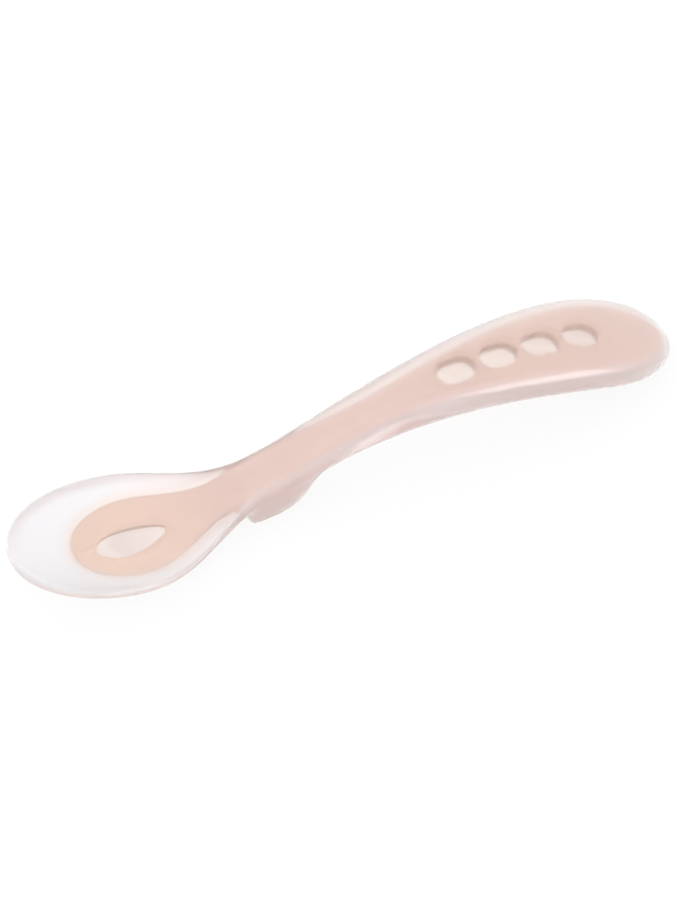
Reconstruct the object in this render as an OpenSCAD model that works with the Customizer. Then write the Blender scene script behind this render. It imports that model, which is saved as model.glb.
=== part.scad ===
// Soft-bowled baby spoon: a rigid inner core moulded over with clear silicone.
// The spoon lies along X, bowl to the left, standing on its foot and on the end of its handle.

/* [Bowl] */
// Overall width of the bowl, over its rims
bowl_width = 30.4; // [26:0.2:36]
// Distance from the tip to the widest place of the bowl
bowl_front = 22; // [18:0.5:26]
// Distance from the widest place of the bowl to the narrowest place of the neck
bowl_back = 31; // [27:0.5:38]
// Depth of the hollow, from the line of the rims to the middle of the wall
bowl_depth = 4.2; // [4:0.1:5.5]
// Thickness of the bowl's wall
bowl_wall = 2.2; // [2:0.1:2.8]
// Distance from the widest place of the bowl over which the hollow runs out
hollow_back = 27; // [22:0.5:29]
// Radius of the rim's upper edge, which runs on along the neck
rim_edge = 1.1; // [0.8:0.1:1.3]
// How long the bowl keeps its width towards the neck
bowl_fullness = 1.12; // [1.04:0.02:1.4]

/* [Neck] */
// Width of the neck at its narrowest
neck_width = 10.6; // [10:0.2:14]
// Thickness of the neck
neck_thickness = 7.2; // [6.8:0.2:9]
// Distance before the hollow's end from which the wall thickens into the neck
thicken_lead = 11.5; // [10:0.5:14]
// Distance past the narrowest place of the neck to its thickest place
thicken_run = 3; // [2:0.5:5]
// Distance before the narrowest place of the neck from which the wall's round edge turns oval
edge_lead = 13.5; // [11:0.5:15]
// Distance past the narrowest place of the neck to where the section is the handle's oval
edge_run = 7; // [5:0.5:9]

/* [Handle] */
// Width of the handle at its widest
handle_width = 23.6; // [20:0.4:28]
// Thickness of the handle
handle_thickness = 9.6; // [8.4:0.2:11]
// Distance from the narrowest place of the neck to the widest place of the handle
grip_length = 76; // [68:1:88]
// Distance from the widest place of the handle to its end
end_length = 19.6; // [17:0.2:23]
// Length over which the handle's thickness closes in at its end
end_round = 10.4; // [8:0.2:13]
// Distance from the narrowest place of the neck to where the handle has its full thickness
handle_run = 48; // [44:1:54]
// How long the handle keeps the neck's width
grip_fullness = 1.35; // [1:0.05:1.6]

/* [Curve] */
// Angle at which the bowl rises towards its tip
tip_rise = 11.2; // [9:0.2:15]
// Angle at which the neck would rise, if the crest didn't turn it down
neck_rise = 20.6; // [17:0.2:24]
// Angle at which the handle falls at its end
end_drop = 30.6; // [27:0.2:34]
// Distance from the tip to where the line begins to turn up
rise_start = 16; // [12:0.5:19]
// Length over which the line turns up
rise_length = 57.5; // [50:0.5:62]
// Distance from the tip to the start of the arc over the crest
crest_start = 59; // [54:0.2:63]

/* [Foot] */
// Distance from the tip to the front of the foot's sole
foot_front = 49.6; // [48:0.2:51]
// Length of the foot's sole along the spoon
foot_sole = 2.2; // [2:0.2:4]
// Length of the foot's steep front
foot_front_run = 2.6; // [2:0.2:4]
// Length of the foot's long back
foot_back_run = 14.8; // [13:0.2:18]
// How full the foot's long back is before it runs out into the handle
foot_fullness = 1.28; // [1.2:0.02:1.7]
// Width of the foot where it meets the neck
foot_width = 11.4; // [10.8:0.2:12.4]
// Width of the foot's sole, as a part of the foot's width
foot_squareness = 0.62; // [0.54:0.02:0.7]
// Depth of the foot's rounding that its flat sole takes away
sole_cut = 0.4; // [0.3:0.1:0.8]
// Depth of the handle end's rounding that the flat under it takes away
heel_cut = 0.15; // [0.1:0.05:0.3]

/* [Core] */
// Distance from the spoon's tip to the tip of the core's tongue
tongue_start = 13.6; // [12:0.2:15]
// Width of the tongue at its widest
tongue_width = 19.4; // [17:0.2:21]
// Distance from the tongue's tip to its widest place
tongue_front = 12.8; // [11:0.2:15]
// Distance from the tongue's widest place to where it has the neck's width
tongue_back = 18.6; // [16:0.2:20]
// Thickness of the tongue in the bowl's wall
tongue_thickness = 1; // [0.8:0.1:1.1]
// Thickness of the silicone round the core in the neck
neck_skin = 0.8; // [0.7:0.1:1]
// Thickness of the silicone over the core in the neck
neck_top = 1.6; // [0.8:0.1:2]
// Width of the clear edge beside the core in the handle
side_skin = 3.2; // [2.6:0.1:3.6]
// Width of the clear edge past the core at the end of the handle
end_skin = 3.2; // [2.6:0.1:3.8]
// Thickness of the silicone under the core in the foot
sole_skin = 0.9; // [0.8:0.1:1.2]
// Thickness of the core's plate in the handle
plate_thickness = 3.4; // [2.8:0.2:3.8]
// Distance from the narrowest place of the neck to where the core is a flat plate
plate_run = 32; // [28:1:36]
// Height of the plate's middle over the middle of the handle
plate_lift = -0.2; // [-0.6:0.1:0.4]

/* [Openings in the core] */
// Length of the opening in the tongue
loop_length = 14.6; // [12:0.2:16]
// Width of the opening in the tongue
loop_width = 6.4; // [5:0.2:8]
// Distance from the tongue's tip to the front of its opening
loop_inset = 5; // [4.4:0.2:6]
// How much the opening narrows towards the neck
loop_taper = 0.25; // [0:0.05:0.35]
// Number of windows in the handle
window_count = 4; // [1:1:4]
// Length of a window
window_length = 7.8; // [6:0.2:8.4]
// Width of a window
window_width = 5.6; // [4:0.2:5.8]
// Distance between the middles of neighbouring windows
window_pitch = 9.4; // [9:0.2:10]
// Distance from the middle of the row of windows to the end of the handle
window_row = 37; // [34:0.5:42]

/* [Fineness] */
// Distance between rings along the bowl
bowl_gap = 2.8; // [2.4:0.2:4]
// Distance between rings along the foot
foot_gap = 1.1; // [1:0.1:1.6]
// Distance between rings along the handle
handle_gap = 3.6; // [3:0.2:5]
// Rings over each round end
end_rings = 8; // [6:1:9]
// Points across one face of a ring
across = 20; // [16:2:20]

/* [Hidden] */

// Places along the spoon, measured on its line from the tip
neck_at = bowl_front + bowl_back;
handle_at = neck_at + grip_length;
length = handle_at + end_length;
hollow_end = bowl_front + hollow_back;
foot_start = foot_front - foot_front_run;
foot_back = foot_front + foot_sole;
foot_end = foot_back + foot_back_run;
tongue_at = tongue_start + tongue_front;
tongue_end = tongue_at + tongue_back;
core_end = length - end_skin;
windows_at = length - window_row;

// Where the wall begins to thicken into the neck, and where the neck is thickest
thicken_start = hollow_end - thicken_lead;
neck_full = neck_at + thicken_run;
// Where the handle has its full thickness, and where the core is a flat plate
handle_full = neck_at + handle_run;
plate_full = neck_at + plate_run;
// Where the wall's round edge begins to turn into the handle's oval, and has turned into it
edge_end = neck_at - edge_lead;
oval_start = neck_at + edge_run;

// How square the sections are: 2 is an ellipse, and more is squarer
top_squareness = 2.8;
under_squareness = 2.3;
end_squareness = 1.85;
edge_squareness = 40;
// Shares of the foot's front and flanks that round them off at top and bottom
foot_roundness = 0.35;
flank_roundness = 0.25;

// The first and the last ring stand this far inside the tips, so that no face closes to a point
tip_gap = 0.01;
// Length of the round ends that has rings close together
end_run = 5;
// The line is worked out in equal steps
spine_steps = 400;
spine_step = length / spine_steps;
// How far back from the handle's end its lowest place is looked for, and in what steps
heel_reach = 2.5 * end_round;
heel_step = 0.2;

// Curves that ease between two values

function clip(t) = min(1, max(0, t));
function ease(t) = let (u = clip(t)) u * u * (3 - 2 * u);
function blend(a, b, t) = a + (b - a) * t;

// A straight ramp from 0 to 1 whose two ends are rounded over the share r
function ramp(t, r) =
    let (u = clip(t), k = 2 * r * (1 - r))
    u < r ? u * u / k
    : u < 1 - r ? (u - r / 2) / (1 - r)
    : 1 - (1 - u) * (1 - u) / k;

// Half of a curve that closes from 1 to 0 as t goes from 0 to 1
function closing(t, power) = pow(1 - pow(clip(t), power), 1 / power);

// The spoon's line in the XZ plane

function slope(s) =
    blend(-tip_rise, neck_rise, ease((s - rise_start) / rise_length))
    - (neck_rise + end_drop) * clip((s - crest_start) / (length - crest_start));

line = [
    for (
        i = 0, x = 0, z = 0;
        i <= spine_steps;
        i = i + 1,
        x = x + spine_step * cos(slope((i - 0.5) * spine_step)),
        z = z + spine_step * sin(slope((i - 0.5) * spine_step))
    ) [x, z]
];

function on_line(s) =
    let (t = s / spine_step, i = min(spine_steps - 1, floor(t)))
    blend(line[i], line[i + 1], t - i);

// Widths and thicknesses along the line

function half_width(s) =
    s < bowl_front ? bowl_width / 2 * closing((bowl_front - s) / bowl_front, 2)
    : s < neck_at ? blend(
        bowl_width / 2,
        neck_width / 2,
        0.5 - 0.5 * cos(180 * pow((s - bowl_front) / bowl_back, bowl_fullness))
    )
    : s < handle_at ? blend(
        neck_width / 2,
        handle_width / 2,
        ease(pow((s - neck_at) / grip_length, grip_fullness))
    )
    : handle_width / 2 * closing((s - handle_at) / end_length, end_squareness);

// The share of the way from the bowl's wall to the full neck
function neck_share(s) = ease((s - thicken_start) / (neck_full - thicken_start));

function half_thickness(s) =
    let (
        handle = ease((s - neck_full) / (handle_full - neck_full)),
        wall = blend(bowl_wall, neck_thickness, neck_share(s)),
        body = wall + (handle_thickness - neck_thickness) * handle,
        tip = closing(1 - 2 * s / bowl_wall, 2),
        end = closing((s - length + end_round) / end_round, 2)
    )
    body / 2 * tip * end;

// Height of the middle of the wall over the line, u being the place across it from -1 to 1
function dish(s, u) =
    let (
        front = pow(half_width(s) * 2 / bowl_width, 2),
        back = 1 - ease((s - bowl_front) / hollow_back)
    )
    -bowl_depth * (s < bowl_front ? front : back) * (1 - u * u);

// An edge of the given radius runs along the wall, and turns into the handle's flatter oval
function squareness(s, width, radius, full) =
    blend(
        max(2, min(edge_squareness, 2 * width / radius)),
        full,
        ease((s - edge_end) / (oval_start - edge_end))
    );

// Height of the line over the surface that the spoon stands on
lift = -heel_cut - min([
    for (s = [length - heel_reach : heel_step : length - heel_step])
        on_line(s)[1] - cos(slope(s)) * half_thickness(s)
]);

// The share of the foot at a place along and across the spoon, with its sides drawn in by inset
function foot_share(s, y, inset) =
    let (
        front = ramp((s - foot_start - inset) / foot_front_run, foot_roundness),
        back = 1 - ease(pow(clip((s - foot_back + inset) / foot_back_run), foot_fullness)),
        half = foot_width / 2 - inset,
        side = ramp((half - abs(y)) / (half * (1 - foot_squareness)), flank_roundness)
    )
    min(front, back) * side;

// A point of a section, at the distance s, y across and h over the line
function place(s, y, h) =
    let (p = on_line(s), a = slope(s))
    [p[0] - sin(a) * h, y, max(0, p[1] + lift + cos(a) * h)];

// Height over the line of the plane that the spoon stands on
function sole_height(s) = -(on_line(s)[1] + lift) / cos(slope(s));

// Places across a section, from -1 to 1, closer together towards its edges
places = [for (i = [0 : across]) sin(blend(-90, 90, i / across))];

// One closed section of the outer form
function skin_ring(s) =
    let (
        w = half_width(s),
        t = half_thickness(s),
        top = squareness(s, w, min(t, rim_edge), top_squareness),
        under = squareness(s, w, t, under_squareness),
        deep = sole_height(s) - sole_cut
    )
    concat(
        [
            for (u = places)
                let (h = dish(s, u) - t * sqrt(max(0, 1 - pow(abs(u), under))))
                place(s, w * u, blend(h, min(h, deep), foot_share(s, w * u, 0)))
        ],
        [
            for (i = [across - 1 : -1 : 1])
                let (u = places[i])
                place(s, w * u, dish(s, u) + t * sqrt(max(0, 1 - pow(abs(u), top))))
        ]
    );

// Sizes of the core along the line

// The share of the way from the full neck to the flat plate
function plate_share(s) = ease((s - neck_full) / (plate_full - neck_full));

function core_half_width(s) =
    let (
        neck = neck_width / 2 - neck_skin,
        wall = blend(neck_skin, side_skin, ease((s - neck_at) / (plate_full - neck_at)))
    )
    s < tongue_at ? tongue_width / 2 * closing((tongue_at - s) / tongue_front, 2)
    : s < tongue_end ? blend(tongue_width / 2, neck, ease((s - tongue_at) / tongue_back))
    : s < neck_at ? neck
    : s < handle_at ? half_width(s) - wall
    : (handle_width / 2 - side_skin) * closing((s - handle_at) / (end_length - end_skin), end_squareness);

function core_half_thickness(s) =
    let (
        rod = neck_thickness - neck_skin - neck_top,
        body = blend(tongue_thickness, rod, neck_share(s)) + (plate_thickness - rod) * plate_share(s),
        tip = closing(1 - 2 * (s - tongue_start) / tongue_thickness, 2),
        end = closing(1 - 2 * (core_end - s) / plate_thickness, 2)
    )
    body / 2 * tip * end;

// One closed section of the core
function core_ring(s) =
    let (
        w = core_half_width(s),
        t = core_half_thickness(s),
        outer = half_width(s),
        top = squareness(s, w, t, top_squareness),
        under = squareness(s, w, t, under_squareness),
        sunk = (neck_skin - neck_top) / 2 * neck_share(s),
        middle = blend(sunk, plate_lift, plate_share(s)),
        deep = sole_height(s) + sole_skin
    )
    concat(
        [
            for (u = places)
                let (h = middle + dish(s, w * u / outer) - t * sqrt(max(0, 1 - pow(abs(u), under))))
                place(s, w * u, blend(h, min(h, deep), foot_share(s, w * u, neck_skin)))
        ],
        [
            for (i = [across - 1 : -1 : 1])
                let (u = places[i])
                place(
                    s,
                    w * u,
                    middle + dish(s, w * u / outer) + t * sqrt(max(0, 1 - pow(abs(u), top)))
                )
        ]
    );

// Rings from a to b: close together over the round ends and the foot, and wider apart elsewhere
function stations(a, b, turn) =
    let (
        marks = [a + end_run, foot_start - 1, foot_end + 1, b - end_run],
        gaps = [bowl_gap, foot_gap, handle_gap],
        counts = [for (i = [0 : 2]) ceil((marks[i + 1] - marks[i]) / gaps[i])]
    )
    concat(
        [for (i = [0 : turn - 1]) a + tip_gap + end_run * (1 - cos(90 * i / turn))],
        [
            for (part = [0 : 2])
                for (i = [0 : counts[part] - 1])
                    blend(marks[part], marks[part + 1], i / counts[part])
        ],
        [for (i = [turn : -1 : 0]) b - tip_gap - end_run * (1 - cos(90 * i / turn))]
    );

skin_sections = [for (s = stations(0, length, end_rings)) skin_ring(s)];
core_sections = [for (s = stations(tongue_start, core_end, end_rings - 2)) core_ring(s)];

// Half-way point of the spoon's length
middle_x = (
    min([for (ring = skin_sections) for (p = ring) p[0]])
    + max([for (ring = skin_sections) for (p = ring) p[0]])
) / 2;

// A closed solid through sections of equal counts
module loft(sections) {
    n = len(sections[0]);
    last = len(sections) - 1;
    polyhedron(
        points = [for (ring = sections) for (p = ring) p],
        faces = concat(
            [[for (j = [0 : n - 1]) j]],
            [
                for (i = [0 : last - 1])
                    for (j = [0 : n - 1])
                        let (k = (j + 1) % n, a = i * n, b = (i + 1) * n)
                        each [[a + j, b + j, a + k], [a + k, b + j, b + k]]
            ],
            [[for (j = [n - 1 : -1 : 0]) last * n + j]]
        )
    );
}

// Places a child on the spoon's line, turned with it
module on_spoon(s) {
    translate([on_line(s)[0], 0, on_line(s)[1] + lift])
        rotate([0, -slope(s), 0])
            children();
}

// A long window with round ends, through the core's plate
module window() {
    deep = 2 * plate_thickness;
    cube([window_length - window_width, window_width, deep], center = true);
    for (side = [-1, 1])
        translate([side * (window_length - window_width) / 2, 0, 0])
            cylinder(d = window_width, h = deep, center = true, $fn = 48);
}

// The egg-shaped opening in the tongue, blunt towards the tip
module loop_opening() {
    deep = 4 * tongue_thickness;
    middle = tongue_start + loop_inset + loop_length / 2;
    on_spoon(middle)
        translate([0, 0, dish(middle, 0)])
            linear_extrude(height = deep, center = true)
                polygon([
                    for (a = [0 : 10 : 350])
                        [
                            loop_length / 2 * cos(a),
                            loop_width / 2 * sin(a) * (1 - loop_taper * cos(a))
                        ]
                ]);
}

module core_solid() {
    difference() {
        loft(core_sections);
        loop_opening();
        for (i = [0 : window_count - 1])
            on_spoon(windows_at + (i - (window_count - 1) / 2) * window_pitch)
                translate([0, 0, plate_lift])
                    window();
    }
}

// Rigid insert: the tongue in the bowl, the neck with the foot's heart, and the handle's plate
module inner_core() {
    color("#e8c8bf")
        translate([-middle_x, 0, 0])
            core_solid();
}

// Clear silicone moulded round the core, which fills the core's openings
module silicone_skin() {
    color("#f4eff1", 0.35)
        translate([-middle_x, 0, 0])
            difference() {
                loft(skin_sections);
                core_solid();
            }
}

inner_core();
silicone_skin();
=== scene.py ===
"""Baby spoon: a rigid pink core moulded over with clear silicone, on a pale studio floor.

Sizes are in millimetres and degrees, as on the part's drawing. Each piece is lofted along the
spoon's line by a Geometry Nodes tree and becomes a plain mesh in metres.
"""

import logging
import math
from dataclasses import dataclass, field, fields
from enum import Enum
from types import SimpleNamespace
from typing import Any, Callable, Sequence, Union

import bpy
from mathutils import Matrix, Vector

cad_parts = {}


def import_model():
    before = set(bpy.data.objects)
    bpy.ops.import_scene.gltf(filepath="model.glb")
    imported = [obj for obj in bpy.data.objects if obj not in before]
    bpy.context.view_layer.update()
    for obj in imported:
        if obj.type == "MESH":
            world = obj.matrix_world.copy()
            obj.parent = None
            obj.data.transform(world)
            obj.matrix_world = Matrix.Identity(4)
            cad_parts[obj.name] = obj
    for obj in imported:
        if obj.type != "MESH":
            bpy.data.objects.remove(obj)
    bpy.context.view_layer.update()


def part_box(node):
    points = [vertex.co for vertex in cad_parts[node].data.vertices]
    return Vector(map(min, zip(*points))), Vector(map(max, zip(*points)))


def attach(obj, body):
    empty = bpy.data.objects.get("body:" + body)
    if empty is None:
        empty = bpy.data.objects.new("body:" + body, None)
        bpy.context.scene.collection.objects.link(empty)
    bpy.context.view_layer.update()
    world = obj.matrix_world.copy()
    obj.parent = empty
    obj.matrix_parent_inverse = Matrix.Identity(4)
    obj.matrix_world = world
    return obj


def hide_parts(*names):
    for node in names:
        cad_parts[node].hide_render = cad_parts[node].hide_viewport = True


log = logging.getLogger("baby_spoon")

Material = bpy.types.Material
Mesh = bpy.types.Mesh
Socket = bpy.types.NodeSocket
Links = dict[Union[int, str], Any]
Colour = Sequence[float]
Pair = tuple[float, float]

MM = 0.001

# Values that the trees store on the meshes, in millimetres, and a height over half the thickness
RIM_DISTANCE = "rim_distance"
CORE_DEPTH = "core_depth"
EDGE_DEPTH = "edge_depth"
WINDOW_DEPTH = "window_depth"
SIDE_HEIGHT = "side_height"


class Slot(Enum):
    """Material slots of the part's record."""

    CORE = "core"
    SILICONE = "silicone"


class Node(Enum):
    """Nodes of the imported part."""

    CORE = "inner_core"
    SKIN = "silicone_skin"


def linked(name: str, data: Any) -> bpy.types.Object:
    """A new object in the scene."""
    made = bpy.data.objects.new(name, data)
    bpy.context.scene.collection.objects.link(made)
    return made


class Nodes:
    """A node tree that is written as calls."""

    def __init__(self, tree: bpy.types.NodeTree) -> None:
        """Takes the tree to write in."""
        self.tree = tree

    def add(self, kind: str, links: Links, **settings: Any) -> bpy.types.Node:
        """Adds a node, sets it up and feeds its inputs.

        Args:
            kind: Blender's name of the node type.
            links: Values, fields or sockets for its inputs, by index or name.
            **settings: Properties of the node.

        Returns:
            The new node.
        """
        node = self.tree.nodes.new(kind)
        for key, value in settings.items():
            setattr(node, key, value)
        for key, value in links.items():
            self.feed(node.inputs[key], value)
        return node

    def out(self, kind: str, links: Links, **settings: Any) -> Socket:
        """The first output of a new node."""
        return self.add(kind, links, **settings).outputs[0]

    def feed(self, socket: Socket, value: Any) -> None:
        """Gives an input its value, or links it to a field or an output."""
        if isinstance(value, Field):
            value = value.socket
        if isinstance(value, Socket):
            self.tree.links.new(value, socket)
        else:
            socket.default_value = value


class Graph(Nodes):
    """A Geometry Nodes tree that is written as formulas."""

    def __init__(self, name: str) -> None:
        """Starts an empty tree with a geometry output."""
        super().__init__(bpy.data.node_groups.new(name, "GeometryNodeTree"))
        self.socket("Geometry", "OUTPUT", "NodeSocketGeometry")
        self.group_input = self.tree.nodes.new("NodeGroupInput")
        self.group_output = self.tree.nodes.new("NodeGroupOutput")
        self.values: dict[str, Any] = {}

    def socket(self, label: str, side: str, kind: str) -> Any:
        """Adds an input or output to the tree."""
        return self.tree.interface.new_socket(label, in_out=side, socket_type=kind)

    def size(self, name: str, value: float) -> "Field":
        """Adds a named input to the tree.

        Args:
            name: Name of the size, as a dataclass field has it.
            value: Its value, in millimetres, degrees or as a plain number.

        Returns:
            The input as a field.
        """
        label = name.replace("_", " ").capitalize()
        socket = self.socket(label, "INPUT", "NodeSocketFloat")
        self.values[socket.identifier] = float(value)
        return Field(self, self.group_input.outputs[label])

    def sizes(self, *groups: Any) -> SimpleNamespace:
        """Adds an input for each number in some dataclasses.

        Args:
            *groups: Dataclass objects that hold sizes.

        Returns:
            The inputs as fields, by the names of the dataclass fields.
        """
        found = {}
        for group in groups:
            for entry in fields(group):
                value = getattr(group, entry.name)
                if isinstance(value, (int, float)):
                    found[entry.name] = self.size(entry.name, value)
        return SimpleNamespace(**found)

    def value(self, kind: str, links: Links, **settings: Any) -> "Field":
        """The first output of a new node, as a field."""
        return Field(self, self.out(kind, links, **settings))

    def math(self, operation: str, *values: Any) -> "Field":
        """The result of one Math node."""
        return self.value("ShaderNodeMath", dict(enumerate(values)), operation=operation)

    def least(self, a: Any, b: Any) -> "Field":
        """The smaller of two values."""
        return self.math("MINIMUM", a, b)

    def most(self, a: Any, b: Any) -> "Field":
        """The larger of two values."""
        return self.math("MAXIMUM", a, b)

    def clip(self, t: Any) -> "Field":
        """A value kept between 0 and 1."""
        return self.value("ShaderNodeClamp", {0: t})

    def ease(self, t: Any) -> "Field":
        """A smooth step from 0 to 1 as t goes from 0 to 1."""
        return self.value("ShaderNodeMapRange", {0: t}, interpolation_type="SMOOTHSTEP")

    def blend(self, a: Any, b: Any, t: Any) -> "Field":
        """The value at the share t of the way from a to b."""
        return self.value("ShaderNodeMix", {0: t, 2: a, 3: b}, clamp_factor=False)

    def choose(self, condition: Any, a: Any, b: Any) -> "Field":
        """The value a where the condition holds, and b elsewhere."""
        return self.value("GeometryNodeSwitch", {0: condition, 1: b, 2: a}, input_type="FLOAT")

    def closing(self, t: Any, power: Any = 2.0) -> "Field":
        """A curve that closes from 1 to 0 as t goes from 0 to 1, round at the power 2."""
        inverse = 1.0 / power
        return (1.0 - self.clip(t) ** power) ** inverse

    def ramp(self, t: Any, share: float) -> "Field":
        """A straight ramp from 0 to 1 whose ends are rounded over a share of it.

        Args:
            t: Place on the ramp.
            share: Part of the ramp that each rounding takes.

        Returns:
            The height of the ramp.
        """
        u = self.clip(t)
        scale = 2.0 * share * (1.0 - share)
        start = u * u / scale
        middle = (u - share / 2.0) / (1.0 - share)
        end = 1.0 - (1.0 - u) * (1.0 - u) / scale
        return self.choose(u < share, start, self.choose(u < 1.0 - share, middle, end))

    def vector(self, x: Any, y: Any, z: Any) -> "Field":
        """A vector from its three parts."""
        return self.value("ShaderNodeCombineXYZ", {0: x, 1: y, 2: z})

    def parts(self, vector: Any) -> tuple["Field", "Field", "Field"]:
        """The three parts of a vector."""
        node = self.add("ShaderNodeSeparateXYZ", {0: vector})
        return tuple(Field(self, socket) for socket in node.outputs)

    def scaled(self, vector: Any, factor: Any) -> "Field":
        """A vector times a number."""
        return self.value("ShaderNodeVectorMath", {0: vector, "Scale": factor}, operation="SCALE")

    def position(self) -> "Field":
        """Where each point is."""
        return self.value("GeometryNodeInputPosition", {})

    def index(self) -> "Field":
        """The number of each point."""
        return self.value("GeometryNodeInputIndex", {})

    def moved(self, geometry: Any, position: "Field") -> Socket:
        """Puts each point of a geometry at a position."""
        node = self.add("GeometryNodeSetPosition", {"Geometry": geometry, "Position": position})
        return node.outputs["Geometry"]

    def marked(self, geometry: Any, name: str, value: "Field") -> Socket:
        """Stores a value on each point of a geometry, for its finish to read."""
        links = {"Geometry": geometry, "Name": name, "Value": value}
        return self.out("GeometryNodeStoreNamedAttribute", links)

    def finish(self, geometry: Socket, material: Material) -> None:
        """Ends the tree: no instances are left, and every face gets the finish.

        Args:
            geometry: The finished geometry.
            material: The finish.
        """
        real = self.out("GeometryNodeRealizeInstances", {0: geometry})
        smooth = self.out("GeometryNodeSetShadeSmooth", {"Geometry": real})
        links = {"Geometry": smooth, "Material": material}
        dressed = self.out("GeometryNodeSetMaterial", links)
        self.feed(self.group_output.inputs[0], dressed)

    def mesh(self, name: str) -> Mesh:
        """Evaluates the tree on an empty object.

        Args:
            name: Name of the mesh.

        Returns:
            A plain mesh, in the tree's units.
        """
        carrier = linked(name, bpy.data.meshes.new(name + "_empty"))
        modifier = carrier.modifiers.new(self.tree.name, "NODES")
        modifier.node_group = self.tree
        for identifier, value in self.values.items():
            modifier[identifier] = value
        evaluated = carrier.evaluated_get(bpy.context.evaluated_depsgraph_get())
        mesh = bpy.data.meshes.new_from_object(evaluated)
        mesh.name = name
        carrier.modifiers.clear()
        bpy.data.objects.remove(carrier)
        return mesh


def operator(operation: str, turned: bool = False) -> Callable[..., "Field"]:
    """Makes a method of a field that adds a Math node.

    Args:
        operation: Blender's name of the operation.
        turned: Whether the other value comes first.

    Returns:
        The method.
    """

    def method(self: "Field", *others: Any) -> "Field":
        """The result as a field."""
        values = (*others, self) if turned else (self, *others)
        return self.graph.math(operation, *values)

    return method


class Field:
    """A value in a tree, which the usual operators turn into Math nodes."""

    def __init__(self, graph: Graph, socket: Socket) -> None:
        """Wraps an output socket of a tree."""
        self.graph = graph
        self.socket = socket

    __add__ = operator("ADD")
    __sub__ = operator("SUBTRACT")
    __rsub__ = operator("SUBTRACT", turned=True)
    __mul__ = operator("MULTIPLY")
    __rmul__ = operator("MULTIPLY", turned=True)
    __truediv__ = operator("DIVIDE")
    __rtruediv__ = operator("DIVIDE", turned=True)
    __pow__ = operator("POWER")
    __lt__ = operator("LESS_THAN")
    __gt__ = operator("GREATER_THAN")
    # The value without its sign is its size, and angles are in radians
    size = operator("ABSOLUTE")
    floor = operator("FLOOR")
    sin = operator("SINE")
    cos = operator("COSINE")

    def __neg__(self) -> "Field":
        """The value with its sign turned."""
        return self.graph.math("MULTIPLY", self, -1.0)

    def root(self) -> "Field":
        """Square root, 0 below 0."""
        return self.graph.math("SQRT", self.graph.most(self, 0.0))


@dataclass(frozen=True)
class BodySizes:
    """Sizes of the spoon's outer form, along its line from the tip."""

    bowl_width: float = 30.4
    bowl_front: float = 22.0
    bowl_back: float = 31.0
    bowl_depth: float = 4.2
    bowl_wall: float = 2.2
    hollow_back: float = 27.0
    rim_edge: float = 1.1
    bowl_fullness: float = 1.12
    neck_width: float = 10.6
    neck_thickness: float = 7.2
    thicken_lead: float = 11.5
    thicken_run: float = 3.0
    edge_lead: float = 13.5
    edge_run: float = 7.0
    handle_width: float = 23.6
    handle_thickness: float = 9.6
    grip_length: float = 76.0
    end_length: float = 19.6
    end_round: float = 10.4
    handle_run: float = 48.0
    grip_fullness: float = 1.35
    tip_rise: float = 11.2
    neck_rise: float = 20.6
    end_drop: float = 30.6
    rise_start: float = 16.0
    rise_length: float = 57.5
    crest_start: float = 59.0
    foot_front: float = 49.6
    foot_sole: float = 2.2
    foot_front_run: float = 2.6
    foot_back_run: float = 14.8
    foot_fullness: float = 1.28
    foot_width: float = 11.4
    foot_squareness: float = 0.62
    sole_cut: float = 0.4
    heel_cut: float = 0.15
    top_squareness: float = 2.8
    under_squareness: float = 2.3
    end_squareness: float = 1.85
    edge_squareness: float = 40.0


@dataclass(frozen=True)
class CoreSizes:
    """Sizes of the rigid core and of the openings in it."""

    tongue_start: float = 13.6
    tongue_width: float = 19.4
    tongue_front: float = 12.8
    tongue_back: float = 18.6
    tongue_thickness: float = 1.0
    neck_skin: float = 0.8
    neck_top: float = 1.6
    side_skin: float = 3.2
    end_skin: float = 3.2
    sole_skin: float = 0.9
    plate_thickness: float = 3.4
    plate_run: float = 32.0
    plate_lift: float = -0.2
    loop_length: float = 14.6
    loop_width: float = 6.4
    loop_inset: float = 5.0
    loop_taper: float = 0.25
    window_count: float = 4.0
    window_length: float = 7.8
    window_width: float = 5.6
    window_pitch: float = 9.4
    window_row: float = 37.0
    window_fillet: float = 0.45


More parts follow.
